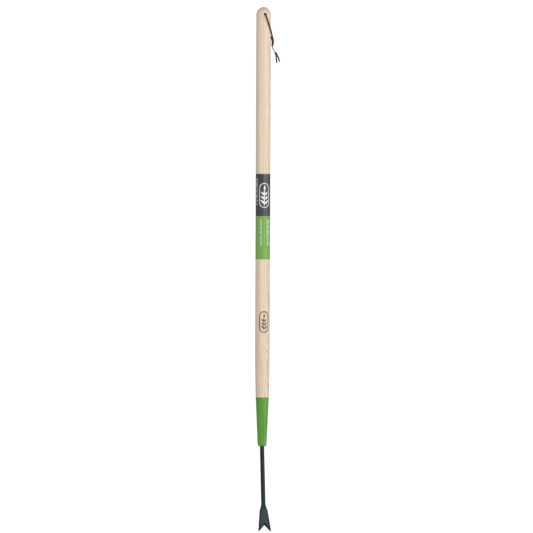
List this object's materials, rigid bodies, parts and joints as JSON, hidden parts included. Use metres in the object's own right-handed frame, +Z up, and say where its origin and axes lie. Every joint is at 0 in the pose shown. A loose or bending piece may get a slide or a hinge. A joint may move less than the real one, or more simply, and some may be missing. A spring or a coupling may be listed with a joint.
{
  "type": "stand up weeder",
  "caption": "Long-handled weeding fork: ash handle with a hanging thong, two-colour label film, tapered green ferrule, and a forged steel rod ending in a notched blade.",
  "frame": {"origin": "the middle of the hanging hole, on the handle's axis", "axes": "+Z up along the handle, the front with the label and stamp towards -Y, +X to the right seen from the front"},
  "size_m": [0.0536, 0.0513, 1.1521],
  "materials": {
    "ash_wood": "satin clear lacquer on ash",
    "grey_film": "satin printed film, charcoal grey",
    "green_film": "satin printed film, leaf green",
    "green_enamel": "gloss enamel on steel",
    "pin_steel": "bright, lightly worn",
    "forged_steel": "dark satin coat on a forging",
    "thong_leather": "dark brown latigo lace with a paler cut edge"
  },
  "bodies": {
    "tool": {"handle": "ash_wood", "label_band_grey": "grey_film", "label_band_green": "green_film", "ferrule": "green_enamel", "tang_pin": "pin_steel", "fork_head": "forged_steel"},
    "hang_loop": {"thong_loop": "thong_leather", "thong_knot": "thong_leather", "thong_tail_right": "thong_leather", "thong_tail_left": "thong_leather"}
  },
  "joints": [
    {"name": "thong_swing", "type": "hinge", "parent": "tool", "child": "hang_loop", "pos_m": [0, 0, 0], "axis": [0, -1, 0], "range_deg": [0, 315]}
  ]
}
